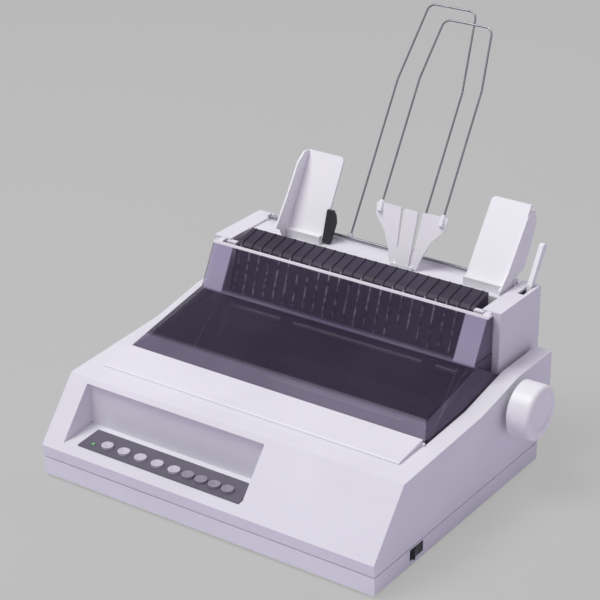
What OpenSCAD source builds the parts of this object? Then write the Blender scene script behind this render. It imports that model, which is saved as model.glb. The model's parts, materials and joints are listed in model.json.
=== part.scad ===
// Narrow-carriage dot matrix printer with a hinged smoked cover, sheet guides and wire paper supports.
// X runs along the platen, -Y is the front, +Z is up, and the feet stand on Z = 0.

/* [Case] */
// Width of the case
case_w = 398; // [380:1:430]
// Depth of the case
case_d = 345; // [338:1:370]
// Thickness of the case walls
wall = 3; // [2:0.1:3.5]
// Height of the feet under the case
foot_h = 3; // [2:0.5:6]
// Height of the seam between the two case halves
seam_z = 23; // [23:0.5:25]
// Height where the sloped front face starts
lip_z = 36; // [34:0.5:37]
// Height of the front edge of the deck
deck_z = 98; // [96:0.5:100]
// Distance of the front edge of the deck from the front
deck_y = 48; // [46:0.5:49]
// Height of the side rims at the back
rim_rear_z = 118; // [116:0.5:121]
// Width of the side rims
rim_w = 19; // [14:0.5:19]

/* [Control panel] */
// Margin of the front face left of the panel recess
recess_margin = 24; // [20:0.5:28]
// Number of keys
key_count = 9; // [6:1:9]
// Distance from key to key in the left group
key_pitch = 21; // [18:0.5:21]
// Distance from key to key in the right group
small_pitch = 16; // [15.5:0.5:17]
// Width of a key
key_w = 13; // [12:0.5:13]
// Length of a key, front to back
key_l = 11.5; // [8:0.5:12]
// Travel of a key
key_travel = 1.2; // [0.8:0.1:1.5]

/* [Access cover] */
// Thickness of the smoked plastic
cover_t = 2.5; // [2:0.1:3]
// Radius of the hinge pins
hinge_r = 2; // [1.6:0.1:2.2]

/* [Rear housing] */
// Depth of the rear housing
housing_d = 83; // [80:0.5:86]
// Height of the rear housing's rims
housing_z = 180; // [180:0.5:184]
// Width of each rise of the housing
rise_w = 21; // [18:0.5:21]
// Wall of the rear housing
housing_t = 2.5; // [2:0.1:3]
// Distance between two ribs of the paper guide
rib_pitch = 12.7; // [10:0.1:20]

/* [Sheet guides and wire supports] */
// Width of a sheet guide
guide_w = 46; // [40:1:48]
// Length of a sheet guide along its face
guide_l = 96; // [80:1:100]
// Lean of the wire hoops from upright
lean = 30.5; // [26:0.5:33]
// Radius of the wire hoops
wire_r = 1.1; // [1:0.1:1.4]
// Height of the rear hoop, along the wire
rear_hoop_l = 266; // [230:1:280]
// Height of the front hoop, along the wire
front_hoop_l = 202; // [175:1:215]

/* [Platen and knob] */
// Radius of the platen roller
platen_r = 16; // [14:0.5:16]
// Height of the platen's axis
platen_z = 90; // [89:0.5:92]
// Radius of the platen knob
knob_r = 29; // [24:0.5:30]
// Thickness of the platen knob
knob_t = 27; // [20:0.5:30]

/* [Mechanism] */
// Thickness of the side frames
frame_t = 2; // [1.5:0.1:2.5]
// Gear module
gear_m = 1; // [1]
// Teeth of the platen gear
platen_teeth = 48; // [48]
// Teeth of the idler gear and of the tractor gear
idler_teeth = 28; // [28]
// Teeth of the feed motor's pinion
pinion_teeth = 12; // [12]
// Radius of the carriage shaft
rod_r = 5; // [4:0.5:5.5]
// Pitch radius of the belt pulleys
pulley_r = 8; // [6:0.5:8]

/* [Hidden] */
$fn = 48;

// Clearances
eps = 0.01;
fit = 0.05;
gap = 0.3;
loose = 0.5;

half_w = case_w / 2;
rim_in = half_w - rim_w;
// Room between the rims and the rear housing, and between the rims and the cover
rim_gap = 4.5;
cover_gap = 2;
housing_half = rim_in - rim_gap;
rise_in = housing_half - rise_w;
frame_x = rise_in - 4.5;
// Fronts of the rear housing, of the well and of the mechanism's frame
housing_y0 = case_d - housing_d;
platen_y = housing_y0 - 9;
well_y0 = platen_y - 137;
chassis_y0 = platen_y - 133;
// Back of the case, which is cut in under the rear housing, and again at its base
body_d = case_d - 14;
base_d = case_d - 35;
chamfer_z = seam_z + 17;
// Side profile of the upper case
lip_y = -2;
rim_mid = [platen_y - 63, 105];
rim_rise_y = housing_y0;
// Raised strip in front of the cover
strip_half = rim_in - 3;
strip_y0 = deck_y + 26;
strip_y1 = well_y0;
strip_z0 = deck_z + 3.5;
strip_z1 = deck_z + 9;
// Cover, as (y, z) places of its edges
cover_y0 = strip_y1 + 2;
cover_foot_z = strip_z1 - 3;
cover_front = [cover_y0 + 18, deck_z + 19];
cover_fold = [housing_y0 - 34, 134];
cover_top = [housing_y0 - 11, housing_z - 1];
cover_back_y = housing_y0 - 1.5;
cover_bevel = 7;
cover_half = rim_in - cover_gap;
cover_top_half = housing_half - cover_bevel;
cover_back_z = rim_rear_z - 4;
// Skirts of the cover that hang down inside the rims, and where they start behind its front edge
skirt_drop = 4;
skirt_in = 6;
hinge_y = housing_y0 - 5;
hinge_z = housing_z - 4;
hinge_lug_t = 6;
// Rear housing
housing_foot_z = 97;
front_wall_in = rise_in - 8.5;
// Ribbed paper guide
guide_half = front_wall_in - 0.5;
ribs_top_y0 = housing_y0;
ribs_top_y1 = housing_y0 + 28;
ribs_foot = [housing_y0 - 16, 128];
ribs_rise = 6;
rib_t = 1.6;
rib_h = 1.8;
// Separator plate
plate_y0 = ribs_top_y1 + 7;
plate_y1 = case_d - 3;
plate_t = 3;
plate_z = housing_z - 2;
plate_half = rise_in - 0.5;
fold_y = case_d - 6;
fold_z = plate_z - 9;
fold_r = 2.5;
ear_r = 4.5;
// Sheet guides
guide_y = plate_y0 + 10;
guide_t = 2.5;
left_guide_x = -rise_in + 39.5;
right_guide_x = rise_in - 2.5;
// Wire hoops
rear_hoop_x = -13;
rear_hoop_half = 40;
rear_hoop_y = case_d - 5;
// Part of each leg that is straight; above it the hoop narrows
rear_straight = 0.67 * rear_hoop_l;
front_straight = 0.67 * front_hoop_l;
front_hoop_x = 35;
front_hoop_half = 37;
bracket_y = plate_y0 + 5;
bracket_h = 63;
wing_half = 43;
bracket_tilt = 16;
hoop_corner = 9;
hoop_taper = 7.5;
rod_y = plate_y1 - 10;
steel_r = 1.6;
// Where the part's own origin lies in the case's own places
hoop_rise = rear_hoop_l * cos(lean);
rear_reach = rear_hoop_y + (rear_hoop_l - wire_r) * sin(lean) + wire_r;
knob_out = half_w + 6 + knob_t;
shift_x = (knob_out - half_w) / 2;
shift_y = (rear_reach + lip_y) / 2;

module place() translate([-shift_x, -shift_y, 0]) children();
// An outline drawn in (y, z) and stretched from x0 to x1
module across(x0, x1) translate([x0, 0, 0]) rotate([90, 0, 90]) linear_extrude(x1 - x0) children();
// A rod or disc along X
module bar(r, x0, x1, y, z, fn = 48) translate([x0, y, z]) rotate([0, 90, 0]) cylinder(r = r, h = x1 - x0, $fn = fn);
module block(a, b) translate(a) cube([b[0] - a[0], b[1] - a[1], b[2] - a[2]]);
module both_sides() { children(); mirror([1, 0, 0]) children(); }
// A closed form between two four-cornered faces
module loft4(low, high) polyhedron(
    points = concat(low, high),
    faces = [[0, 1, 2, 3], [7, 6, 5, 4], [0, 4, 5, 1], [1, 5, 6, 2], [2, 6, 7, 3], [3, 7, 4, 0]]
);

// ---- Case ----

function rim_at(y) = y < rim_mid[0]
    ? deck_z + (rim_mid[1] - deck_z) * (y - deck_y) / (rim_mid[0] - deck_y)
    : rim_mid[1] + (rim_rear_z - rim_mid[1]) * min(1, (y - rim_mid[0]) / (rim_rise_y - rim_mid[0]));

face_slope = (deck_z - lip_z) / (deck_y - lip_y);
// Level of the front face above its lower edge, at depth y
function face_z(y) = lip_z + (y - lip_y) * face_slope;

module case_outline(t) polygon([
    [t, seam_z - (t > 0 ? 5 : 0)],
    [lip_y + t, lip_z],
    [deck_y + t * 0.55, deck_z - t],
    [rim_mid[0], rim_mid[1] - t],
    [rim_rise_y, rim_rear_z - t],
    [body_d - t, rim_rear_z - t],
    [body_d - t, chamfer_z + 0.48 * t],
    [base_d - 1.59 * t - (t > 0 ? 6.2 : 0), seam_z - (t > 0 ? 5 : 0)]
]);

module strip_outline(t) polygon([
    [strip_y0 + t, deck_z - 2 * wall],
    [strip_y0 + t, strip_z0 - 1 - t],
    [strip_y0 + t + 1.5, strip_z0 - t],
    [strip_y1 - t, strip_z1 - t],
    [strip_y1 - t, deck_z - 2 * wall]
]);

// Floor of the panel recess
floor_y = 4;
floor_front_z = 43;
floor_slope = 4.5;
recess_back = deck_y;
recess_top = deck_z - 5;
function floor_z(y) = floor_front_z + (y - floor_y) * tan(floor_slope);

module recess_outline(t) polygon([
    [-20, floor_z(-20) - t],
    [recess_back + t, floor_z(recess_back + t) - t],
    [recess_back + t, recess_top + t],
    [-20, recess_top + t]
]);

module on_floor() translate([0, floor_y, floor_front_z]) rotate([floor_slope, 0, 0]) children();
panel_v0 = 3;
panel_v1 = 35.5;
small_from = 6;
recess_left = half_w - recess_margin;
panel_x0 = -recess_left + 16;
panel_x1 = key_x(key_count) + 21;
recess_right = panel_x1 + 5;
panel_t = 1.6;
window_in = 4;

well_z = 50;
well_wall = 2;
ledge_z = housing_foot_z;
ledge_in = rise_in - 2;
shaft_hole = 8;
inlet_x = half_w - 87;
inlet_z = chamfer_z + 18;
inlet_w = 28;
inlet_h = 20;
port_x = -half_w + 89;
port_z = chamfer_z + 16;
port_w = 66;
port_h = 14;

module upper_case() color("#e4e3ea") place() difference() {
    union() {
        difference() {
            union() {
                across(-half_w, half_w) case_outline(0);
                across(-strip_half, strip_half) strip_outline(0);
            }
            across(-half_w + wall, half_w - wall) case_outline(wall);
            across(-strip_half + wall, strip_half - wall) strip_outline(wall);
            block([-half_w - 1, -10, 0], [half_w + 1, case_d + 1, seam_z]);
            across(-recess_left - wall, recess_right + wall) intersection() {
                recess_outline(wall);
                case_outline(0);
            }
            block([-rim_in, well_y0, well_z], [rim_in, case_d + 1, housing_z]);
        }
        // Walls of the panel recess
        intersection() {
            across(-recess_left - wall, recess_right + wall) recess_outline(wall);
            across(-half_w, half_w) case_outline(0);
        }
        // Walls of the well that the cover and the mechanism stand in
        both_sides() across(rim_in, rim_in + well_wall) intersection() {
            case_outline(wall - eps);
            translate([well_y0 - wall, well_z]) square([case_d - well_y0 + wall, housing_z]);
        }
        block([-rim_in, well_y0 - wall, well_z], [rim_in, well_y0, strip_z1 - wall + eps]);
        block([-rim_in - eps, body_d - wall, chamfer_z + 2], [rim_in + eps, body_d, over_z - gap]);
        // Bosses that the case screws go up into
        for (p = screw_places) intersection() {
            translate([p[0], p[1], seam_z]) cylinder(r = boss_r, h = rim_rear_z);
            across(-half_w, half_w) case_outline(wall - eps);
        }
        // Pads that the cover's front edge rests on
        both_sides() block([rim_in - 60, well_y0 - eps, cover_foot_z - gap - 3],
            [rim_in - 40, well_y0 + 8, cover_foot_z - gap]);
        // Ledges that carry the rear housing
        both_sides() block([ledge_in, housing_y0 + 4, ledge_z - 3], [rim_in + eps, body_d - wall + eps, ledge_z]);
    }
    across(-recess_left, recess_right) recess_outline(0);
    on_floor() block(
        [panel_x0 + window_in, panel_v0 + window_in, -10],
        [panel_x1 - window_in, panel_v1 - window_in, 10]
    );
    for (p = screw_places) translate([p[0], p[1], seam_z - 1]) cylinder(r = screw_r + fit, h = 10);
    bar(shaft_hole, rim_in - 1, half_w + 1, platen_y, platen_z);
    block([inlet_x - inlet_w / 2, body_d - 20, inlet_z - inlet_h / 2],
        [inlet_x + inlet_w / 2, body_d + 1, inlet_z + inlet_h / 2]);
    block([port_x - port_w / 2, body_d - 20, port_z - port_h / 2],
        [port_x + port_w / 2, body_d + 1, port_z + port_h / 2]);
}

rocker_y = 73.5;
rocker_z = 14.2;
rocker_l = 24;
rocker_h = 12;
screw_r = 2;
screw_places = [for (x = [-1, 1], y = [24, base_d - 20]) [x * (half_w - 12.5), y]];
groove = 1.5;
lip_t = 1.6;
boss_r = 5;
chassis_z = 20;
chassis_y1 = base_d - 10;
chassis_bosses = [for (x = [-1, 1], y = [chassis_y0 + 12, chassis_y1 - 12]) [x * (frame_x - 16), y]];
board_z = foot_h + wall + 8;
board_x0 = -60;
board_x1 = half_w - 36;
board_y0 = 12;
board_y1 = chassis_y0 - 10;
board_bosses = [for (x = [board_x0 + 7, board_x1 - 7], y = [board_y0 + 7, board_y1 - 7]) [x, y]];

module lower_case() color("#d9d8e2") place() difference() {
    union() {
        difference() {
            block([-half_w, 0, foot_h], [half_w, base_d, seam_z]);
            block([-half_w + wall, wall, foot_h + wall], [half_w - wall, base_d - wall, seam_z + 1]);
            // Shadow groove under the seam
            difference() {
                block([-half_w - 1, -1, seam_z - groove], [half_w + 1, base_d + 1, seam_z + 1]);
                block([-half_w + groove, groove, 0], [half_w - groove, base_d - groove, seam_z + 2]);
            }
        }
        // Lip that locates the upper case
        difference() {
            block([-half_w + wall, wall, seam_z - 4], [half_w - wall, base_d - wall, seam_z]);
            block([-half_w + wall + lip_t, wall + lip_t, 0], [half_w - wall - lip_t, base_d - wall - lip_t, seam_z + 1]);
        }
        for (p = screw_places) translate([p[0], p[1], foot_h]) cylinder(r = boss_r, h = seam_z - foot_h);
        for (p = chassis_bosses) translate([p[0], p[1], foot_h]) cylinder(r = boss_r, h = chassis_z - foot_h);
        for (p = board_bosses) translate([p[0], p[1], foot_h]) cylinder(r = 3.5, h = board_z - foot_h);
    }
    for (p = screw_places) translate([p[0], p[1], foot_h - 1]) {
        cylinder(r = screw_r + fit, h = seam_z);
        cylinder(r = 2 * screw_r + gap, h = 6);
    }
    block([half_w - wall - lip_t - 1, rocker_y - rocker_l / 2, rocker_z - rocker_h / 2],
        [half_w + 1, rocker_y + rocker_l / 2, rocker_z + rocker_h / 2]);
}

module case_screws() color("silver") place() for (p = screw_places) translate([p[0], p[1], foot_h]) {
    translate([0, 0, 1]) cylinder(r = 2 * screw_r, h = 4);
    translate([0, 0, 2]) cylinder(r = screw_r, h = seam_z - foot_h + 6);
}

foot_r = 9;
foot_in = 26;
foot_y = 50;
module feet() color("#33323a") place()
    for (x = [-1, 1], y = [foot_y, base_d - foot_y]) translate([x * (half_w - foot_in), y, 0])
        rotate_extrude() polygon([[0, 0], [foot_r - 1.5, 0], [foot_r, foot_h], [0, foot_h]]);

// ---- Control panel ----

// Places of the keys along the panel: a wide group, then a close one
function key_x(i) = panel_x0 + 29 + (i < small_from
    ? (i - 1) * key_pitch
    : (small_from - 2) * key_pitch + 17 + (i - small_from) * small_pitch);
key_v = 15;
key_h = 2.4;
switch_h = 3;
pcb_w = -10;
pcb_t = 1.6;
led_x = panel_x0 + 14;
led_v = 11;

// A rounded key outline, grown by g
module key_outline(g = 0) {
    r = key_l / 2 + g;
    for (s = [-1, 1]) translate([s * (key_w - key_l) / 2, 0]) circle(r = r);
    square([key_w - key_l, 2 * r], center = true);
}

module control_panel() color("#4a4654") place() on_floor() difference() {
    union() {
        block([panel_x0, panel_v0, 0], [panel_x1, panel_v1, panel_t]);
        for (x = [panel_x0 + 8, panel_x1 - 8]) translate([x, panel_v1 - 8, pcb_w + pcb_t])
            cylinder(r = 2, h = -pcb_w - pcb_t + eps);
    }
    for (i = [1 : key_count]) translate([key_x(i), key_v, -1]) linear_extrude(panel_t + 2) key_outline(gap);
    translate([led_x, led_v, -1]) cylinder(r = 2 + gap, h = panel_t + 2);
}

module panel_board() color("#2f6b4a") place() on_floor() {
    block([panel_x0 + 5, panel_v0 + 5, pcb_w], [panel_x1 - 5, panel_v1 - 5, pcb_w + pcb_t]);
    for (i = [1 : key_count]) translate([key_x(i) - 3, key_v - 3, pcb_w + pcb_t]) cube([6, 6, switch_h]);
}

key_flange = 1;
module key(i) color(i < small_from ? "#d8d6e0" : "#7d7888") place() on_floor() translate([key_x(i), key_v, 0]) {
    key_foot = pcb_w + pcb_t + switch_h + key_travel + 0.1;
    difference() {
        translate([0, 0, -gap - eps]) linear_extrude(panel_t + key_h + gap + eps) key_outline();
        // Finger dish
        translate([0, 0, panel_t + key_h + 11.2]) sphere(r = 12, $fn = 64);
    }
    // Flange that stops the key under the panel
    translate([0, 0, -gap - key_flange]) linear_extrude(key_flange) key_outline(1);
    translate([0, 0, key_foot]) cylinder(r = 1.5, h = -gap - key_flange - key_foot + eps);
}

module power_led() color("#9fe09a") place() on_floor() translate([led_x, led_v, 0]) {
    translate([0, 0, pcb_w + pcb_t]) cylinder(r = 2, h = panel_t - pcb_w - pcb_t);
    translate([0, 0, panel_t]) sphere(r = 2, $fn = 32);
}

// ---- Power switch ----

rocker_pin = [half_w - 3, rocker_y];
rocker_pin_r = 1.5;
rocker_tilt = 10;
module power_rocker() color("#26242b") place() translate([rocker_pin[0], rocker_pin[1], rocker_z]) {
    rotate([0, 0, rocker_tilt]) translate([0, 0, -rocker_h / 2 + 1]) linear_extrude(rocker_h - 2) polygon([
        [5, -9.5],
        [3.4, -4],
        [2.9, 0],
        [3.4, 4],
        [5, 9.5],
        [0, 9.5],
        [-3, 3],
        [-3, -3],
        [0, -9.5]
    ]);
    cylinder(r = rocker_pin_r, h = rocker_h - 2 * gap, center = true);
}

module rocker_body() color("#3a3840") place() difference() {
    block([half_w - 24, rocker_y - rocker_l / 2 + gap, rocker_z - rocker_h / 2 + gap / 2],
        [half_w - 0.4, rocker_y + rocker_l / 2 - gap, rocker_z + rocker_h / 2 - gap / 2]);
    block([half_w - wall - 14, rocker_y - rocker_l / 2 + 1, rocker_z - rocker_h / 2 + 0.8],
        [half_w + 1, rocker_y + rocker_l / 2 - 1, rocker_z + rocker_h / 2 - 0.8]);
    translate([rocker_pin[0], rocker_pin[1], rocker_z]) cylinder(r = rocker_pin_r + fit, h = rocker_h, center = true);
}

// ---- Access cover ----

tray_low = [
    [-cover_half, cover_y0, cover_foot_z],
    [cover_half, cover_y0, cover_foot_z],
    [cover_half, cover_back_y, cover_back_z],
    [-cover_half, cover_back_y, cover_back_z]
];
function tray_high(t) = [
    [-cover_top_half + t, cover_front[0] + t, cover_front[1] - t],
    [cover_top_half - t, cover_front[0] + t, cover_front[1] - t],
    [cover_top_half - t, cover_fold[0] + t, cover_fold[1] - t],
    [-cover_top_half + t, cover_fold[0] + t, cover_fold[1] - t]
];
function grown(p, t) = [for (q = p) [q[0] - sign(q[0]) * t, q[1] + (q[1] < 200 ? t : 0), q[2] - 2]];

function foot_at(y) = cover_foot_z + (cover_back_z - cover_foot_z) * (y - cover_y0) / (cover_back_y - cover_y0);
skirt_y0 = cover_y0 + skirt_in;
module skirt_outline() polygon([
    [skirt_y0, rim_at(skirt_y0) - skirt_drop],
    [rim_mid[0], rim_mid[1] - skirt_drop],
    [cover_back_y, rim_at(cover_back_y) - skirt_drop],
    [cover_back_y, cover_back_z + 1],
    [skirt_y0, foot_at(skirt_y0) + 1]
]);

module window_outline(t) polygon([
    [cover_fold[0] - 10, cover_back_z],
    [cover_fold[0] + t * 0.9, cover_fold[1] - t],
    [cover_top[0] + t * 0.9, cover_top[1] - t],
    [cover_back_y - 3 + t, cover_top[1] - t],
    [cover_back_y + t, cover_top[1] - 3 - t],
    [cover_back_y + t, cover_back_z]
]);

module access_cover() color("#3a3348") place() difference() {
    union() {
        difference() {
            union() {
                loft4(tray_low, tray_high(0));
                across(-cover_top_half, cover_top_half) window_outline(0);
            }
            loft4(grown(tray_low, cover_t), tray_high(cover_t));
            across(-cover_top_half + cover_t, cover_top_half - cover_t) window_outline(cover_t);
            // Open back above the side walls, for the sheet to leave by
            block([-cover_top_half + cover_t, cover_top[0] + 1.5, well_z],
                [cover_top_half - cover_t, case_d, housing_z + 1]);
            block([-half_w, cover_back_y, well_z], [half_w, case_d, housing_z + 1]);
        }
        both_sides() bar(hinge_r, cover_top_half - cover_t - hinge_lug_t + gap, cover_top_half - cover_t / 2, hinge_y, hinge_z);
        both_sides() across(cover_half - cover_t, cover_half) skirt_outline();
    }
}

// ---- Rear housing ----

lug_half = cover_top_half - cover_t - gap;
lug_r = 3.2;
// Underside of the part that stands out behind the case
over_z = housing_foot_z + 13.5;
skirt_y = body_d - wall - gap;
module rise_outline(t) polygon([
    [housing_y0 + t, housing_foot_z - (t > 0 ? 5 : 0)],
    [housing_y0 + t, housing_z - t],
    [case_d - t, housing_z - t],
    [case_d - t, over_z + t],
    [skirt_y - t, over_z + t],
    [skirt_y - t, housing_foot_z - (t > 0 ? 5 : 0)]
]);

module rear_housing() color("#e2e1e9") place() difference() {
    union() {
        both_sides() difference() {
            across(rise_in, housing_half) rise_outline(0);
            across(rise_in + housing_t, housing_half - housing_t) rise_outline(housing_t);
        }
        // Front walls behind the ends of the cover
        both_sides() block([front_wall_in, housing_y0 - 3, frame_top + 2], [rise_in + housing_t, housing_y0, housing_z - 2]);
        both_sides() block([front_wall_in, housing_y0 - eps, frame_top + 2], [rise_in + eps, housing_y0 + 3, housing_z - 2]);
        // Hinge lugs for the cover
        both_sides() intersection() {
            block([lug_half - hinge_lug_t, hinge_y - lug_r, hinge_z - 12], [lug_half, housing_y0 + eps, hinge_z + lug_r]);
            union() {
                bar(lug_r, lug_half - hinge_lug_t, lug_half, hinge_y, hinge_z);
                across(0, half_w) polygon([
                    [hinge_y, hinge_z - lug_r],
                    [hinge_y, hinge_z + lug_r],
                    [housing_y0 + 1, hinge_z + lug_r],
                    [housing_y0 + 1, hinge_z - 12]
                ]);
            }
        }
        // Rear wall
        block([-rise_in - eps, case_d - housing_t, over_z], [rise_in + eps, case_d, fold_z - 6]);
        block([-rise_in - eps, skirt_y - housing_t, over_z], [rise_in + eps, case_d - eps, over_z + housing_t]);
        // Ears that the separator plate turns in
        both_sides() bar(ear_r, rise_in - 5, rise_in + eps, fold_y, fold_z);
        both_sides() block([rise_in - 5, fold_y - ear_r, fold_z - 14], [rise_in + eps, fold_y + ear_r, fold_z]);
    }
    both_sides() bar(hinge_r + fit, lug_half - hinge_lug_t - 1, lug_half + 1, hinge_y, hinge_z);
    both_sides() bar(fold_r + fit, rise_in - 6, rise_in, fold_y, fold_z);
    bar(3 + loose, rise_in - 1, rise_in + housing_t + 1, lever_y, lever_z);
    // Slot for the release lever
    block([lever_x - lever_t / 2 - 1, lever_y - 15, housing_z - 4],
        [lever_x + lever_t / 2 + 1, lever_y + 11.5, housing_z + 1]);
}

module ribs_outline() polygon([
    ribs_foot,
    [ribs_top_y0, housing_z - 4],
    [ribs_top_y0 + 3, housing_z - 1],
    [ribs_top_y1, housing_z - 1 + ribs_rise],
    [ribs_top_y1, ribs_foot[1] + 10]
]);

rib_count = floor((2 * guide_half - 8) / rib_pitch);
guide_skin = 2;
module paper_guide() color("#1f1d24") place() {
    difference() {
        across(-guide_half, guide_half) ribs_outline();
        across(-guide_half + guide_skin, guide_half - guide_skin) polygon([
            [ribs_foot[0] + guide_skin, ribs_foot[1] - 1],
            [ribs_top_y0 + guide_skin, housing_z - 4 - guide_skin / 2],
            [ribs_top_y0 + 2 * guide_skin, housing_z - 1 - guide_skin],
            [ribs_top_y1 - guide_skin, housing_z - 1.5 - guide_skin + ribs_rise],
            [ribs_top_y1 - guide_skin, ribs_foot[1] - 1]
        ]);
    }
    // Ribs that the sheet slides over
    for (i = [0 : rib_count]) translate([(i - rib_count / 2) * rib_pitch - rib_t / 2, 0, 0]) across(0, rib_t) polygon([
        [ribs_foot[0] + 1, ribs_foot[1] + 1],
        [ribs_foot[0] - rib_h + 1, ribs_foot[1] + 3],
        [ribs_top_y0 - rib_h, housing_z - 4],
        [ribs_top_y0 + 2, housing_z],
        [ribs_top_y1 - 1, housing_z + ribs_rise],
        [ribs_top_y1 - 1, housing_z - 2 + ribs_rise],
        [ribs_top_y0 + 3.5, housing_z - 2],
        [ribs_top_y0 + 1, housing_z - 4.5]
    ]);
    // End flanges that rest on the front walls of the housing
    both_sides() block([guide_half - 2, housing_y0 + 3.3, ribs_foot[1] + 12], [rise_in, housing_y0 + 6, housing_z - 3]);
}

// ---- Separator plate with its guides and hoops ----

module separator_plate() color("#e6e5ec") place() difference() {
    union() {
        block([-plate_half, plate_y0, plate_z - plate_t], [plate_half, plate_y1, plate_z]);
        // Front edge turned down
        block([-plate_half, plate_y0, plate_z - 12], [plate_half, plate_y0 + plate_t, plate_z - plate_t + eps]);
        // Low rail at the back that carries the steel rod
        block([-plate_half, rod_y - 3, plate_z - 1], [plate_half, rod_y + 3, plate_z + 1]);
        block([front_hoop_x - 4, rod_y - 4, plate_z - 1], [front_hoop_x + 4, rod_y + 4, plate_z + 7]);
        both_sides() block([plate_half - 1.7, rod_y - 4, plate_z - 1], [plate_half, rod_y + 4, plate_z + 7]);
        // Hinge knuckles
        both_sides() bar(fold_r, plate_half - 14, rise_in - gap, fold_y, fold_z);
        both_sides() block([plate_half - 14, fold_y - 3, fold_z - 2], [rise_in - 6, fold_y + 3, plate_z - plate_t + eps]);
        // Sockets for the rear hoop
        for (s = [-1, 1]) translate([rear_hoop_x + s * rear_hoop_half, rear_hoop_y, plate_z]) rotate([-lean, 0, 0])
            translate([0, 0, -3]) cylinder(r = 3.2, h = 8);
    }
    bar(steel_r + fit, -half_w, half_w, rod_y, plate_z + 4);
    for (s = [-1, 1]) translate([rear_hoop_x + s * rear_hoop_half, rear_hoop_y, plate_z]) rotate([-lean, 0, 0])
        translate([0, 0, -3]) cylinder(r = wire_r + fit, h = 20);
}

module guide_rod() color("#4a4a50") place()
    bar(steel_r, -plate_half + 0.3, plate_half - 0.3, rod_y, plate_z + 4);

// White bracket with a stem and two wings that holds the front hoop
module hoop_bracket() color("#ecebf1") place() translate([front_hoop_x, bracket_y, plate_z]) {
    difference() {
        union() {
            rotate([-bracket_tilt, 0, 0]) {
                // Stem
                translate([0, 3, 0]) rotate([90, 0, 0]) linear_extrude(3)
                    polygon([[-7.5, 1.5], [7.5, 1.5], [8.5, bracket_h - 3], [7, bracket_h - 1],
                        [-7, bracket_h - 1], [-8.5, bracket_h - 3]]);
                both_sides() translate([0, 4.6, 0]) rotate([90, 0, 0]) linear_extrude(2.6) polygon([
                    [6.5, 2],
                    [16, 2],
                    [20, 16],
                    [28, 34],
                    [wing_half - 2, bracket_h - 14],
                    [wing_half, bracket_h - 2],
                    [wing_half - 2, bracket_h],
                    [13, bracket_h - 1],
                    [10.5, 22],
                    [6.5, 15]
                ]);
            }
            // Sockets at the tips of the wings
            both_sides() socket(front_hoop_half) cylinder(r = 2.9, h = 12);
            // Foot
            block([-12, 0.5, gap - eps], [12, 5.5, 4]);
        }
        both_sides() socket(front_hoop_half) translate([0, 0, 3]) cylinder(r = wire_r + fit, h = 20);
    }
}
// Where a leg of the front hoop stands in the bracket
module socket(x) rotate([-bracket_tilt, 0, 0]) translate([x, 3.3, bracket_h - 1]) rotate([bracket_tilt - lean, 0, 0])
    translate([0, 0, -9]) children();

// Half width of the top of a hoop between its two corners
function corner_x(half, height, straight) =
    half - (height - wire_r - hoop_corner * (1 - sin(hoop_taper)) - straight) * tan(hoop_taper)
    - hoop_corner * cos(hoop_taper);
// Length of the narrowing part of a leg
function taper_l(height, straight) = (height - wire_r - hoop_corner * (1 - sin(hoop_taper)) - straight) / cos(hoop_taper);

// A leaning hoop of wire, standing on z = 0 with its ends sunk by s
module hoop(half, height, straight, s) rotate([-lean, 0, 0]) {
    cz = height - wire_r - hoop_corner;
    cx = corner_x(half, height, straight);
    up = taper_l(height, straight);
    weld = 0.1;
    for (m = [0, 1]) mirror([m, 0, 0]) {
        // Leg
        translate([half, 0, -s]) cylinder(r = wire_r, h = s + straight - weld);
        translate([half, 0, straight]) {
            sphere(r = wire_r + weld / 2);
            rotate([0, -hoop_taper, 0]) {
                translate([0, 0, weld]) cylinder(r = wire_r, h = up - 2 * weld);
                translate([0, 0, up]) sphere(r = wire_r + weld / 2);
            }
        }
        // Corner
        translate([cx, 0, cz]) rotate([90, 0, 0]) {
            rotate([0, 0, hoop_taper + 1]) rotate_extrude(angle = 88 - hoop_taper)
                translate([hoop_corner, 0]) circle(r = wire_r);
            translate([0, hoop_corner, 0]) sphere(r = wire_r + weld / 2);
        }
    }
    translate([-cx + weld, 0, height - wire_r]) rotate([0, 90, 0]) cylinder(r = wire_r, h = 2 * (cx - weld));
}

module rear_hoop() color("#55555c") place() translate([rear_hoop_x, rear_hoop_y, plate_z])
    hoop(rear_hoop_half, rear_hoop_l, rear_straight, 2.5);
module front_hoop() color("#55555c") place() translate([front_hoop_x, bracket_y, plate_z])
    rotate([-bracket_tilt, 0, 0]) translate([0, 3.3, bracket_h - 1]) rotate([bracket_tilt, 0, 0])
    hoop(front_hoop_half, front_hoop_l, front_straight, 5.5);

// One sheet guide leaning by a, its outer face at x = 0 on the side s; the flange is given as (y, z) places
module sheet_guide(s, a, flange) mirror([s > 0 ? 0 : 1, 0, 0]) {
    // Face of the guide, with a rounded free corner
    rotate([-a, 0, 0]) translate([0, guide_t, 0]) rotate([90, 0, 0]) linear_extrude(guide_t) {
        translate([-guide_w, 4]) square([guide_w - 1, guide_l - 4 - guide_corner]);
        translate([-guide_w + guide_corner, 4]) square([guide_w - 1 - guide_corner, guide_l - 4]);
        translate([-guide_w + guide_corner, guide_l - guide_corner]) circle(r = guide_corner);
    }
    // Foot of the face, on the plate
    across(-guide_w, -1) polygon([
        [-1, gap],
        [7, gap],
        [8, 6],
        [guide_t / cos(a) + 4 * sin(a), 4 * cos(a) + 2],
        [4 * sin(a) - 0.5, 4 * cos(a) + 1],
        [-1, 3]
    ]);
    across(-2, 0) polygon(flange);
}
guide_corner = 5;
left_lean = lean - 2.5;
right_lean = lean + 4.5;
foot_y1 = rod_y - guide_y + 2.5;
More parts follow.
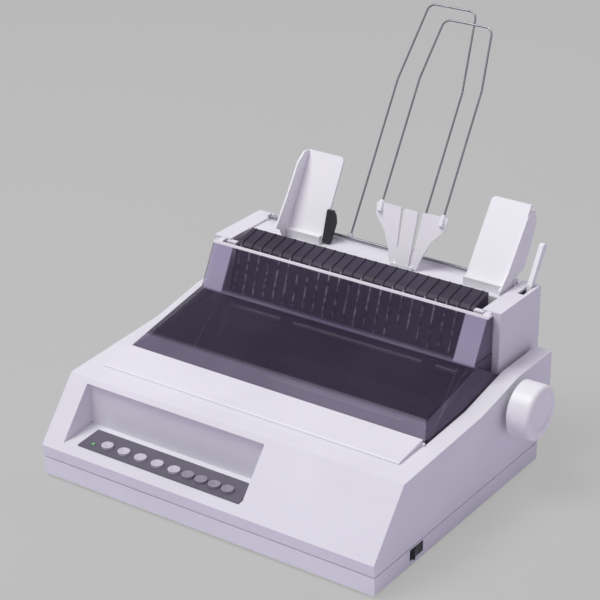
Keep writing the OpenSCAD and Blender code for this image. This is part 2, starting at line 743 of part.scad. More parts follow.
// Place on the face of a guide leaning by a, w along it and d in front of it
function face_at(a, w, d) = [w * sin(a) - d * cos(a), w * cos(a) + d * sin(a)];
left_flange = [
    [-6, gap],
    [-9.5, 9],
    [-19, 15],
    face_at(left_lean, 40, 19),
    face_at(left_lean, 78, 16),
    face_at(left_lean, guide_l - 4, 9),
    face_at(left_lean, guide_l - 1, 2),
    face_at(left_lean, guide_l - 2, -4),
    face_at(left_lean, guide_l - 16, -20),
    [foot_y1 + 16, 22],
    [foot_y1, 9],
    [foot_y1, gap]
];
right_flange = [
    [-6, gap],
    [-5, 5],
    face_at(right_lean, 24, 2),
    face_at(right_lean, guide_l - 14, 0),
    face_at(right_lean, guide_l - 3, -8),
    face_at(right_lean, guide_l - 4, -14),
    face_at(right_lean, guide_l - 13, -22),
    [foot_y1 + 26, 28],
    [foot_y1 + 16, 12],
    [foot_y1, 9],
    [foot_y1, gap]
];

// Block that slides on the steel rod
module guide_shoe(x0, x1) difference() {
    block([x0, -2, 0.3], [x1, rod_y - guide_y + 4, 9]);
    bar(steel_r + fit, x0 - 1, x1 + 1, rod_y - guide_y, 4);
    block([x0 - 1, rod_y - guide_y - 3.3, -1], [x1 + 1, rod_y - guide_y + 3.3, 1.3]);
}

module left_guide() color("#f0eff4") place() translate([left_guide_x, guide_y, plate_z]) difference() {
    union() {
        sheet_guide(-1, left_lean, left_flange);
        guide_shoe(1, guide_w - 1);
    }
    block([-5, rod_y - guide_y - 3.3, -1], [guide_w + 1, rod_y - guide_y + 3.3, 1.3]);
    bar(steel_r + fit, -5, guide_w + 1, rod_y - guide_y, 4);
    bar(lock_pin_r + fit, guide_w - 9, guide_w + 1, lock_y - guide_y, lock_z - plate_z);
}

module right_guide() color("#f0eff4") place() translate([right_guide_x, guide_y, plate_z]) difference() {
    union() {
        sheet_guide(1, right_lean, right_flange);
        guide_shoe(1 - guide_w, -1);
    }
    block([-guide_w - 1, rod_y - guide_y - 3.3, -1], [5, rod_y - guide_y + 3.3, 1.3]);
    bar(steel_r + fit, -guide_w - 1, 5, rod_y - guide_y, 4);
}

lock_x = left_guide_x + guide_w;
lock_y = guide_y + 7;
lock_z = plate_z + 5;
lock_pin_r = 1.8;
module guide_lock() color("#1d1c22") place() {
    across(lock_x + gap, lock_x + 8) {
        translate([lock_y, lock_z]) circle(r = 4.4);
        polygon([
            [lock_y - 4.3, lock_z],
            [lock_y + 4.3, lock_z],
            [lock_y + 13, lock_z + 15],
            [lock_y + 12, lock_z + 24],
            [lock_y + 8, lock_z + 31],
            [lock_y + 5, lock_z + 31],
            [lock_y + 1, lock_z + 18]
        ]);
    }
    bar(lock_pin_r, lock_x - 8, lock_x + gap + eps, lock_y, lock_z);
}

// ---- Release lever ----

lever_x = rise_in + 14;
lever_y = case_d - 16;
lever_t = 5;
lever_z = 125;
module release_lever() color("#e9e8ee") place() difference() {
    across(lever_x - lever_t / 2, lever_x + lever_t / 2) polygon([
        [lever_y - 7, lever_z - 7],
        [lever_y + 7, lever_z - 7],
        [lever_y + 7, lever_z + 6],
        [lever_y + 9, housing_z - 3],
        [lever_y + 10, housing_z + 2],
        [lever_y + 33, housing_z + 35],
        [lever_y + 32, housing_z + 38],
        [lever_y + 29, housing_z + 40],
        [lever_y + 25, housing_z + 39],
        [lever_y + 3, housing_z + 2],
        [lever_y + 2, housing_z - 3],
        [lever_y - 7, lever_z + 6]
    ]);
    bar(3 + fit, lever_x - 10, lever_x + 10, lever_y, lever_z);
}

// ---- Platen and feed gears ----

platen_half = frame_x - 22;
gear_t = 5;
gear_x0 = -frame_x + frame_t / 2 + 1;
gear_x1 = gear_x0 + gear_t;
shaft_end = frame_x + frame_t / 2 + 3;
shaft_r = 4;
idler_angle = 35;
platen_gear_r = gear_m * platen_teeth / 2;
idler_r = gear_m * idler_teeth / 2;
pinion_r = gear_m * pinion_teeth / 2;
idler_y = platen_y + (platen_gear_r + idler_r) * cos(idler_angle);
idler_z = platen_z + (platen_gear_r + idler_r) * sin(idler_angle);
tractor_angle = 22;
tractor_y = idler_y + 2 * idler_r * cos(tractor_angle);
tractor_z = idler_z + 2 * idler_r * sin(tractor_angle);
motor_y = platen_y;
motor_z = platen_z - platen_gear_r - pinion_r;

// A spur gear in the (y, z) plane, one tooth's middle at angle a
module gear(teeth, a) {
    r = gear_m * teeth / 2;
    p = 360 / teeth;
    across(gear_x0, gear_x1) union() {
        circle(r = r - 1.2 * gear_m, $fn = 96);
        for (i = [0 : teeth - 1]) rotate(a + i * p) polygon([
            [r - 1.6 * gear_m, -0.8 * gear_m],
            [r, -0.62 * gear_m],
            [r + 0.85 * gear_m, -0.26 * gear_m],
            [r + 0.85 * gear_m, 0.26 * gear_m],
            [r, 0.62 * gear_m],
            [r - 1.6 * gear_m, 0.8 * gear_m]
        ]);
    }
}
// Phase of a gear that meshes at angle a with one of teeth n0 and phase p0
function mesh_phase(a, n0, p0, n1) =
    let (late = (a - p0) - floor((a - p0) * n0 / 360) * 360 / n0)
    a + 180 + late * n0 / n1 + 180 / n1;
idler_phase = mesh_phase(idler_angle, platen_teeth, 0, idler_teeth);
tractor_phase = mesh_phase(tractor_angle, idler_teeth, idler_phase, idler_teeth);
pinion_phase = mesh_phase(-90, platen_teeth, 0, pinion_teeth);

module platen() color("#18181b") place() difference() {
    bar(platen_r, -platen_half, platen_half, platen_y, platen_z, 96);
    bar(shaft_r, -half_w, half_w, platen_y, platen_z);
}

module platen_shaft() color("#b8b8be") place()
    bar(shaft_r, -shaft_end, half_w + 6 + knob_t - 6, platen_y, platen_z);

knob_round = 5;
module platen_knob() color("#f2f1f5") place() translate([half_w + 6, platen_y, platen_z]) rotate([0, 90, 0])
    rotate_extrude($fn = 96) polygon(concat(
        [[0, knob_t - 5.5], [shaft_r + fit, knob_t - 5.5], [shaft_r + fit, 0], [knob_r - 3, 0], [knob_r, 2]],
        [for (a = [0 : 18 : 90]) [knob_r - knob_round * (1 - cos(a)), knob_t - knob_round * (1 - sin(a))]],
        [[knob_r - 10, knob_t], [knob_r - 12, knob_t - 2], [0, knob_t - 2]]
    ));

module platen_gear() color("#e8e4d4") place() difference() {
    translate([0, platen_y, platen_z]) gear(platen_teeth, 0);
    bar(shaft_r, -half_w, 0, platen_y, platen_z);
}

axle_r = 2.5;
module idler_gear() color("#e8e4d4") place() difference() {
    translate([0, idler_y, idler_z]) gear(idler_teeth, idler_phase);
    bar(axle_r + fit, -half_w, 0, idler_y, idler_z);
}

motor_r = 17;
motor_l = 22;
motor_x1 = -frame_x - frame_t / 2;
module feed_motor() color("#8d8d92") place() difference() {
    union() {
        bar(motor_r, motor_x1 - motor_l, motor_x1, motor_y, motor_z, 64);
        bar(5, motor_x1 - eps, motor_x1 + frame_t, motor_y, motor_z);
    }
    bar(1.5 + fit, motor_x1 - 12, motor_x1 + frame_t + 1, motor_y, motor_z);
}
module feed_pinion() color("#c9b26a") place() {
    translate([0, motor_y, motor_z]) gear(pinion_teeth, pinion_phase);
    bar(1.5, motor_x1 - 11, gear_x0 + eps, motor_y, motor_z);
}

// ---- Tractors ----

module tractor_shaft() color("#b8b8be") place() {
    bar(3, -shaft_end, shaft_end, tractor_y, tractor_z);
    difference() {
        translate([0, tractor_y, tractor_z]) gear(idler_teeth, tractor_phase);
        bar(3 - eps, -half_w, 0, tractor_y, tractor_z);
    }
}

tractor_x = platen_half - 30;
tractor_w = 16;
module tractor(x) difference() {
    union() {
        across(x - tractor_w / 2, x + tractor_w / 2) hull() {
            translate([tractor_y, tractor_z]) circle(r = 11, $fn = 32);
            translate([tractor_y - 2, tractor_z + 28]) circle(r = 11, $fn = 32);
        }
        // Feed pins on the belt
        for (k = [0 : 3]) translate([x, tractor_y - 10, tractor_z + 2 + k * 7.5]) rotate([90, 0, 0])
            cylinder(r = 1.4, h = 5);
    }
    bar(3 + fit, x - 20, x + 20, tractor_y, tractor_z);
}
module tractor_left() color("#2a2930") place() tractor(-tractor_x);
module tractor_right() color("#2a2930") place() tractor(tractor_x);

// ---- Frame ----

frame_top = 132;
frame_y1 = body_d - wall - 4;
module side_frame_outline() difference() {
    polygon([
        [chassis_y0 + 12, chassis_z + 1.5],
        [chassis_y0 + 12, cart_z],
        [chassis_y0 + 60, cart_z],
        [platen_y - 46, 100],
        [platen_y - 20, 114],
        [platen_y + 24, frame_top],
        [frame_y1, tractor_z + 12],
        [frame_y1, chamfer_z + 22],
        [chassis_y1 - 2, chamfer_z],
        [chassis_y1 - 2, chassis_z + 1.5]
    ]);
}

bail_pivot = [platen_y - 31, platen_z - 6];
module side_frame(s) color("#9a9aa2") place() difference() {
    union() {
        across(s * frame_x - frame_t / 2, s * frame_x + frame_t / 2) side_frame_outline();
        // Foot turned along the chassis
        block([s * frame_x - (s > 0 ? 0 : 8), chassis_y0 + 12, chassis_z + 1.5],
            [s * frame_x + (s > 0 ? 8 : 0), chassis_y1 - 2, chassis_z + 3.5]);
        // Pivot for the release lever
        if (s > 0) bar(3, frame_x, lever_x + lever_t / 2 + 1, lever_y, lever_z);
        if (s > 0) bar(8, frame_x - frame_t / 2, frame_x + frame_t / 2, lever_y, lever_z);
        // Axle of the idler gear
        if (s < 0) bar(axle_r, -frame_x, gear_x1 + 1, idler_y, idler_z);
    }
    bar(shaft_r + fit, s * frame_x - 5, s * frame_x + 5, platen_y, platen_z);
    bar(rod_r + eps, s * frame_x - 5, s * frame_x + 5, rod_cy, rod_cz);
    bar(3 + fit, s * frame_x - 5, s * frame_x + 5, tractor_y, tractor_z);
    bar(2.5 + fit, s * frame_x - 5, s * frame_x + 5, bail_pivot[0], bail_pivot[1]);
    if (s < 0) bar(5 + fit, -frame_x - 5, -frame_x + 5, motor_y, motor_z);
}
module side_frame_left() side_frame(-1);
module side_frame_right() side_frame(1);

module chassis() color("#a4a4ab") place() difference() {
    block([-frame_x - 8, chassis_y0, chassis_z], [frame_x + 8, chassis_y1, chassis_z + 1.5]);
    for (k = [-1 : 1]) block([k * 80 - 28, platen_y - 30, 0], [k * 80 + 28, platen_y + 30, 40]);
}

// ---- Carriage ----

rod_cy = platen_y - 48;
rod_cz = 62;
rail_y = platen_y - 93;
rail_z = 50;
module carriage_shaft() color("#cfcfd4") place()
    bar(rod_r, -frame_x - frame_t / 2, frame_x + frame_t / 2, rod_cy, rod_cz);

module carriage_rail() color("#8b8b92") place() {
    across(-frame_x + frame_t / 2, frame_x - frame_t / 2) polygon([
        [rail_y - 1, chassis_z + 1.5],
        [rail_y + 1, chassis_z + 1.5],
        [rail_y + 1, rail_z],
        [rail_y + 8, rail_z],
        [rail_y + 8, rail_z + 2],
        [rail_y - 1, rail_z + 2]
    ]);
}

belt_y = platen_y - 67;
belt_z = chassis_z + 1.5 + 22;
belt_h = 4;
belt_t = 1.2;
pulley_x = frame_x - 22;
carriage_w = 44;
// Place of the carriage at rest, left of the middle
carriage_home = platen_half - 33;
module carriage() color("#2d2c33") place() translate([-carriage_home, 0, 0]) difference() {
    union() {
        block([-carriage_w / 2, rail_y - 4, rail_z + 2 + gap], [carriage_w / 2, rod_cy + 12, rail_z + 5]);
        block([-carriage_w / 2, rod_cy - 10, rail_z + 2 + gap], [carriage_w / 2, rod_cy + 12, rod_cz + 8]);
        // Clamp round the belt
        block([-8, belt_y + pulley_r - 4, belt_z - belt_h / 2 - 1], [8, belt_y + pulley_r + 4, rail_z + 3]);
    }
    bar(rod_r + fit, -30, 30, rod_cy, rod_cz);
    block([-20, belt_y + pulley_r - gap, 0], [20, belt_y + pulley_r + belt_t + gap, belt_z + belt_h / 2 + gap]);
}

ribbon_y = platen_y - platen_r - 1.2;
module print_head() color("#3b3b42") place() translate([-carriage_home, 0, 0]) {
    head_y0 = rod_cy - 32;
    // Finned body
    difference() {
        block([-20, head_y0, rail_z + 5], [20, rod_cy - 10, platen_z + 6]);
        for (k = [0 : 5]) block([-30, head_y0 - 1, rail_z + 9 + k * 6], [30, head_y0 + 9, rail_z + 12 + k * 6]);
    }
    block([-12, rod_cy - 10 - eps, rod_cz + 8], [12, ribbon_y - 12, platen_z + 5]);
    // Nose that holds the wires
    block([-5, ribbon_y - 12 - eps, platen_z - 6], [5, ribbon_y - gap, platen_z + 5]);
}

cart_half = frame_x - 14;
cart_z = 74;
cart_y0 = platen_y - 127;
cart_y1 = cart_y0 + 36;
arm_w = 12;
arm_in = carriage_home + 20 + 3;
module ribbon_cartridge() color("#232228") place() difference() {
    union() {
        block([-cart_half, cart_y0, cart_z], [cart_half, cart_y1, cart_z + 16]);
        both_sides() block([cart_half - arm_w, cart_y1 - 12, cart_z + 2], [cart_half, ribbon_y - 3, cart_z + 14]);
        both_sides() block([arm_in, ribbon_y - 14, cart_z + 2], [cart_half, ribbon_y - gap, cart_z + 14]);
        // Ears that rest on the side frames
        both_sides() block([cart_half - eps, cart_y0 + 12, cart_z], [frame_x + frame_t, cart_y1 - 6, cart_z + 3]);
    }
    block([-cart_half + 14, cart_y0 + 6, cart_z + 13], [cart_half - 60, cart_y1 - 6, cart_z + 17]);
    // Hub of the take-up knob
    translate([cart_half - 28, cart_y0 + 18, cart_z + 8]) cylinder(r = 9, h = 20);
}
module ink_ribbon() color("#16161a") place()
    block([-cart_half + 4, ribbon_y, cart_z + 5], [cart_half - 4, ribbon_y + 0.4, cart_z + 15]);

module pulley(x) translate([x, belt_y, belt_z]) difference() {
    union() {
        cylinder(r = pulley_r - gap, h = belt_h + 2, center = true);
        for (s = [-1, 1]) translate([0, 0, s * (belt_h / 2 + 1) - 0.5]) cylinder(r = pulley_r + 2, h = 1);
    }
    cylinder(r = 2 + fit, h = 20, center = true);
}
module drive_pulley() color("#c9b26a") place() pulley(-pulley_x);
module idler_pulley() color("#c9b26a") place() pulley(pulley_x);

module belt_ring(g) {
    for (s = [-1, 1]) translate([s * pulley_x, belt_y]) circle(r = pulley_r + g);
    translate([-pulley_x, belt_y - pulley_r - g]) square([2 * pulley_x, 2 * (pulley_r + g)]);
}
module drive_belt() color("#222126") place() translate([0, 0, belt_z - belt_h / 2 + gap])
    linear_extrude(belt_h - 2 * gap) difference() {
        belt_ring(belt_t);
        belt_ring(0);
    }

module carriage_motor() color("#8d8d92") place() {
    base = chassis_z + 1.5;
    translate([-pulley_x, belt_y, base]) {
        cylinder(r = 18, h = belt_z - base - belt_h / 2 - 2);
        cylinder(r = 2, h = belt_z - base + belt_h / 2 + 3);
    }
    // Post of the idler pulley
    translate([pulley_x, belt_y, base]) {
        cylinder(r = 6, h = belt_z - base - belt_h / 2 - 2);
        cylinder(r = 2, h = belt_z - base + belt_h / 2 + 3);
    }
}

// ---- Paper bail ----

bail_r = 3;
roller_r = 6;
bail_reach = platen_r + roller_r + 1;
bail_y = platen_y - bail_reach * cos(69);
bail_z = platen_z + bail_reach * sin(69);
bail_x = frame_x - 10;
roller_places = [-platen_half + 60, platen_half - 22];
roller_w = 14;
module paper_bail() color("#c8c8ce") place() difference() {
    union() {
        bar(bail_r, -bail_x + 1, bail_x - 1, bail_y, bail_z);
        both_sides() across(bail_x - 2, bail_x) hull() {
            translate([bail_y, bail_z]) circle(r = 5, $fn = 32);
            translate(bail_pivot) circle(r = 6, $fn = 32);
        }
        both_sides() bar(2.5, bail_x - eps, frame_x + frame_t / 2 + 1, bail_pivot[0], bail_pivot[1]);
    }
    // Necks that the rollers turn on
    for (x = roller_places) difference() {
        bar(bail_r + 1, x - roller_w / 2 - gap, x + roller_w / 2 + gap, bail_y, bail_z);
        bar(bail_r - 1, x - roller_w, x + roller_w, bail_y, bail_z);
    }
}
module bail_roller(x) color("#232228") place() difference() {
    bar(roller_r, x - roller_w / 2, x + roller_w / 2, bail_y, bail_z, 64);
    bar(bail_r - 1 + fit, x - roller_w, x + roller_w, bail_y, bail_z);
}
module bail_roller_left() bail_roller(roller_places[0]);
module bail_roller_right() bail_roller(roller_places[1]);

// ---- Electrics ----

module main_board() color("#2f6b4a") place() {
    block([board_x0, board_y0, board_z], [board_x1, board_y1, board_z + 1.6]);
    for (k = [0 : 4]) translate([board_x0 + 20 + k * 34, board_y0 + 28, board_z + 1.6]) cube([24, 14, 3.4]);
    translate([board_x0 + 20, board_y1 - 40, board_z + 1.6]) cube([100, 22, 12.4]);
}

trafo_x0 = -half_w + wall + lip_t + 1;
trafo_y0 = chassis_y0 - 10;
module transformer() color("#6b6a70") place() translate([trafo_x0, trafo_y0, foot_h + wall]) {
    cube([31, 58, 3]);
    translate([3, 4, 3 - eps]) cube([25, 50, 39]);
    translate([0, 14, 9]) cube([31, 30, 27]);
}

module interface_connector() color("#3a3942") place() difference() {
    union() {
        block([port_x - port_w / 2 + gap, body_d - 18, port_z - port_h / 2 + gap],
            [port_x + port_w / 2 - gap, body_d - 0.5, port_z + port_h / 2 - gap]);
        block([port_x - port_w / 2 - 4, body_d - 10, port_z - port_h / 2 - 3],
            [port_x + port_w / 2 + 4, body_d - wall, port_z + port_h / 2 + 3]);
    }
    block([port_x - port_w / 2 + 3, body_d - 8, port_z - port_h / 2 + 2.5],
        [port_x + port_w / 2 - 3, body_d + 1, port_z + port_h / 2 - 2.5]);
}

module mains_inlet() color("#201f24") place() difference() {
    union() {
        block([inlet_x - inlet_w / 2 + gap, body_d - 26, inlet_z - inlet_h / 2 + gap],
            [inlet_x + inlet_w / 2 - gap, body_d - 0.5, inlet_z + inlet_h / 2 - gap]);
        block([inlet_x - inlet_w / 2 - 4, body_d - 6, inlet_z - inlet_h / 2 - 3],
            [inlet_x + inlet_w / 2 + 4, body_d - wall, inlet_z + inlet_h / 2 + 3]);
    }
    block([inlet_x - inlet_w / 2 + 2.5, body_d - 17, inlet_z - inlet_h / 2 + 2.5],
        [inlet_x + inlet_w / 2 - 2.5, body_d + 1, inlet_z + inlet_h / 2 - 2.5]);
}

lower_case();
upper_case();
feet();
case_screws();
access_cover();
rear_housing();
paper_guide();
separator_plate();
guide_rod();
hoop_bracket();
front_hoop();
rear_hoop();
left_guide();
right_guide();
guide_lock();
release_lever();
control_panel();
panel_board();
power_led();
for (i = [1 : key_count]) key(i);
power_rocker();
rocker_body();
platen();
platen_shaft();
platen_knob();
platen_gear();
idler_gear();
feed_motor();
feed_pinion();
tractor_shaft();
tractor_left();
tractor_right();
chassis();
side_frame_left();
side_frame_right();
carriage_shaft();
carriage_rail();
carriage();
print_head();
ribbon_cartridge();
ink_ribbon();
carriage_motor();
drive_pulley();
idler_pulley();
drive_belt();
paper_bail();
bail_roller_left();
bail_roller_right();
main_board();
transformer();
interface_connector();
mains_inlet();
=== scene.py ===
"""Looks of a narrow-carriage dot matrix printer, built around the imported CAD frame."""

import json
import math

import bpy
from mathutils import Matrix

# ---- Camera ----
CAMERA_DOWN = 25.154  # degrees below the horizon
CAMERA_TURN = 34.609  # degrees round to the right of the front

scene = bpy.context.scene
camera = bpy.data.objects.new("camera", bpy.data.cameras.new("camera"))
scene.collection.objects.link(camera)
camera.location = (0.9843, -1.51827, 1.0121)
camera.rotation_euler = (math.radians(90 - CAMERA_DOWN), 0, math.radians(CAMERA_TURN))
camera.data.sensor_width = 36
camera.data.lens = 117.74
camera.data.clip_end = 50
scene.camera = camera

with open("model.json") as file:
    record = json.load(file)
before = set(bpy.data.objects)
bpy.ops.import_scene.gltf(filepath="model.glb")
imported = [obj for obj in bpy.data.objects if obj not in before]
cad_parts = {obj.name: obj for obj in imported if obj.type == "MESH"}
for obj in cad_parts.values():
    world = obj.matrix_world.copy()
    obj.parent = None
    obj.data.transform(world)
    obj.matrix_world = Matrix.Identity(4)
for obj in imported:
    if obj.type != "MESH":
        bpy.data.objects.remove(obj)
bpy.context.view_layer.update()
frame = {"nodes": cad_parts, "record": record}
nodes = frame["nodes"]


# ---- Materials ----
UNEVEN = 0.06         # how far the grain moves the roughness up or down
CASE_SHIFT = 0.0165   # from the frame's origin to the middle of the case, along X
FOLD_Z = 0.134        # height of the fold between the cover's tray and its window
MILKY_X = 0.1425      # half the length of the clear part of the window
WINDOW_X = 0.1668     # half the length of the window's face
TOP_EDGE_Z = 0.1767   # where the painted highlight on the window's top edge starts
FOLD_LOW = 0.1336     # heights of the painted highlight line along the fold
FOLD_HIGH = 0.1352
TRAY_SLOPE = 0.1889   # rise of the tray's top towards the back
TRAY_LEVEL = 0.13566  # height of the tray's top where Y is zero
TRAY_ALPHA = 0.66     # how solid the tray and the window look
WINDOW_ALPHA = 0.36
RIB_TOP_Z = 0.174     # above this the ribs get no painted glints
RIB_PITCH = 0.0127    # distance between the ribs of the paper guide


def new_material(name):
    """A node material, its tree, its shader and its object coordinates."""
    m = bpy.data.materials.new(name)
    m.use_nodes = True
    tree = m.node_tree
    shader = tree.nodes["Principled BSDF"]
    coords = tree.nodes.new("ShaderNodeTexCoord").outputs["Object"]
    return m, tree, shader, coords


def noise(tree, coords, scale, detail, stretch=None):
    """Noise of a given scale, stretched along an axis if asked."""
    n = tree.nodes.new("ShaderNodeTexNoise")
    n.inputs["Scale"].default_value = scale
    n.inputs["Detail"].default_value = detail
    source = coords
    if stretch:
        mapping = tree.nodes.new("ShaderNodeMapping")
        mapping.inputs["Scale"].default_value = stretch
        tree.links.new(coords, mapping.inputs["Vector"])
        source = mapping.outputs["Vector"]
    tree.links.new(source, n.inputs["Vector"])
    return n.outputs["Fac"]


def ramp(tree, fac, low, high):
    """A two-colour ramp driven by fac."""
    r = tree.nodes.new("ShaderNodeValToRGB")
    r.color_ramp.elements[0].position = 0.35
    r.color_ramp.elements[1].position = 0.65
    r.color_ramp.elements[0].color = (*low, 1)
    r.color_ramp.elements[1].color = (*high, 1)
    tree.links.new(fac, r.inputs["Fac"])
    return r.outputs["Color"]


def spread(tree, fac, low, high):
    """fac from 0..1 mapped to low..high."""
    r = tree.nodes.new("ShaderNodeMapRange")
    r.inputs["To Min"].default_value = low
    r.inputs["To Max"].default_value = high
    tree.links.new(fac, r.inputs["Value"])
    return r.outputs["Result"]


def step(tree, value, low, high):
    """0 below low and 1 above high."""
    r = tree.nodes.new("ShaderNodeMapRange")
    r.inputs["From Min"].default_value = low
    r.inputs["From Max"].default_value = high
    tree.links.new(value, r.inputs["Value"])
    return r.outputs["Result"]


def maths(tree, operation, a, b=None):
    """One Math node; a and b are sockets or plain numbers."""
    n = tree.nodes.new("ShaderNodeMath")
    n.operation = operation
    for socket, value in zip(n.inputs, (a, b)):
        if isinstance(value, (int, float)):
            socket.default_value = value
        elif value is not None:
            tree.links.new(value, socket)
    return n.outputs[0]


def mixed(tree, fac, a, b):
    """Colour a where fac is 0 and b where it is 1."""
    n = tree.nodes.new("ShaderNodeMix")
    n.data_type = "RGBA"
    first, second = [i for i in n.inputs if i.type == "RGBA"]
    tree.links.new(fac, n.inputs["Factor"])
    tree.links.new(a, first)
    tree.links.new(b, second)
    return [o for o in n.outputs if o.type == "RGBA"][0]


def bump(tree, shader, height, distance, strength):
    """Surface relief on the shader."""
    b = tree.nodes.new("ShaderNodeBump")
    b.inputs["Strength"].default_value = strength
    b.inputs["Distance"].default_value = distance
    tree.links.new(height, b.inputs["Height"])
    tree.links.new(b.outputs["Normal"], shader.inputs["Normal"])


def finish_material(name, base, rough, vary, patch, grain, depth, strength,
                    metallic=0.0, coat=0.0, stretch=None, specular=0.5, sheen=0.0):
    """A solid finish: broad colour variation, fine relief and uneven gloss."""
    m, tree, shader, coords = new_material(name)
    low = tuple(c * (1 - vary) for c in base)
    high = tuple(min(1, c * (1 + vary)) for c in base)
    broad = noise(tree, coords, patch, 4)
    fine = noise(tree, coords, grain, 2, stretch)
    tree.links.new(ramp(tree, broad, low, high), shader.inputs["Base Color"])
    tree.links.new(spread(tree, fine, rough - UNEVEN, rough + UNEVEN), shader.inputs["Roughness"])
    bump(tree, shader, fine, depth, strength)
    shader.inputs["Metallic"].default_value = metallic
    shader.inputs["Coat Weight"].default_value = coat
    shader.inputs["Specular IOR Level"].default_value = specular
    shader.inputs["Sheen Weight"].default_value = sheen
    return m


def places(tree, coords):
    """Distance from the middle of the case along X, then Y and the height."""
    split = tree.nodes.new("ShaderNodeSeparateXYZ")
    tree.links.new(coords, split.inputs["Vector"])
    return maths(tree, "ADD", split.outputs["X"], CASE_SHIFT), split.outputs["Y"], split.outputs["Z"]


def smoked(name):
    """Smoked clear plastic: a nearly black tray whose walls carry a painted soft reflection, and a clearer
    window with milky ends, a painted highlight line along the fold and a painted highlight on its top edge."""
    m, tree, shader, coords = new_material(name)
    x, y, z = places(tree, coords)
    side = maths(tree, "ABSOLUTE", x)
    window = step(tree, z, FOLD_Z - 0.0005, FOLD_Z + 0.0005)
    ends = maths(tree, "MULTIPLY", step(tree, side, MILKY_X - 0.0006, MILKY_X + 0.0006),
                 step(tree, side, WINDOW_X + 0.0004, WINDOW_X))
    milky = maths(tree, "MULTIPLY", window, ends)
    # Painted highlight: the window's top edge is coloured near white and made nearly solid.
    edge_highlight = step(tree, z, TOP_EDGE_Z - 0.0004, TOP_EDGE_Z + 0.0004)
    # Painted highlight: a thin lighter, more solid band along the fold.
    fold_highlight = maths(tree, "MULTIPLY", step(tree, z, FOLD_LOW - 0.0003, FOLD_LOW),
                 step(tree, z, FOLD_HIGH + 0.0003, FOLD_HIGH))
    # Painted reflection: the tray's walls below its top are coloured lighter than the tray.
    level = maths(tree, "SUBTRACT", z, maths(tree, "MULTIPLY", y, TRAY_SLOPE))
    wall_reflection = step(tree, level, TRAY_LEVEL - 0.0003, TRAY_LEVEL - 0.0015)

    broad = noise(tree, coords, 9, 3)
    fine = noise(tree, coords, 60, 2)
    colour = ramp(tree, broad, (0.022, 0.016, 0.036), (0.032, 0.024, 0.050))
    for zone, low, high in (
            (wall_reflection, (0.125, 0.105, 0.165), (0.170, 0.145, 0.220)),
            (window, (0.062, 0.050, 0.086), (0.082, 0.067, 0.112)),
            (fold_highlight, (0.11, 0.09, 0.15), (0.16, 0.14, 0.20)),
            (milky, (0.37, 0.33, 0.47), (0.43, 0.39, 0.53)),
            (edge_highlight, (0.83, 0.81, 0.86), (0.87, 0.85, 0.90))):
        colour = mixed(tree, zone, colour, ramp(tree, broad, low, high))
    tree.links.new(colour, shader.inputs["Base Color"])
    tree.links.new(spread(tree, broad, 0.25, 0.29), shader.inputs["Roughness"])
    bump(tree, shader, fine, 0.00002, 0.05)

    alpha = spread(tree, window, TRAY_ALPHA, WINDOW_ALPHA)
    for zone, solid in ((milky, 0.88), (edge_highlight, 0.92), (fold_highlight, 0.9)):
        alpha = maths(tree, "MAXIMUM", alpha, spread(tree, zone, 0.0, solid))
    tree.links.new(alpha, shader.inputs["Alpha"])
    shader.inputs["IOR"].default_value = 1.49
    shader.inputs["Specular IOR Level"].default_value = 0.27
    shader.inputs["Specular Tint"].default_value = (0.84, 0.74, 1.0, 1)
    m.surface_render_method = "BLENDED"
    return m


def ribbed(name):
    """Dark plastic with painted glints: lighter patches along the ribs' edges."""
    m = finish_material(name, (0.046, 0.038, 0.064), 0.5, 0.15, 18, 1300, 0.0002, 0.4, specular=0.3)
    tree = m.node_tree
    shader = tree.nodes["Principled BSDF"]
    plain = shader.inputs["Base Color"].links[0].from_socket
    coords = tree.nodes["Texture Coordinate"].outputs["Object"]
    x, y, z = places(tree, coords)
    # Painted glints: lighter patches in a narrow band at each rib, below RIB_TOP_Z.
    place = maths(tree, "FRACT", maths(tree, "ADD", maths(tree, "DIVIDE", x, RIB_PITCH), 100.5))
    near = maths(tree, "ABSOLUTE", maths(tree, "SUBTRACT", place, 0.5))
    glint_patches = maths(tree, "MULTIPLY", step(tree, noise(tree, coords, 160, 2), 0.42, 0.62),
                    step(tree, z, RIB_TOP_Z + 0.004, RIB_TOP_Z))
    rib_glints = maths(tree, "MULTIPLY", step(tree, near, 0.085, 0.07), glint_patches)
    glint_colour = ramp(tree, noise(tree, coords, 40, 2), (0.58, 0.54, 0.64), (0.80, 0.76, 0.84))
    tree.links.new(mixed(tree, rib_glints, plain, glint_colour), shader.inputs["Base Color"])
    return m


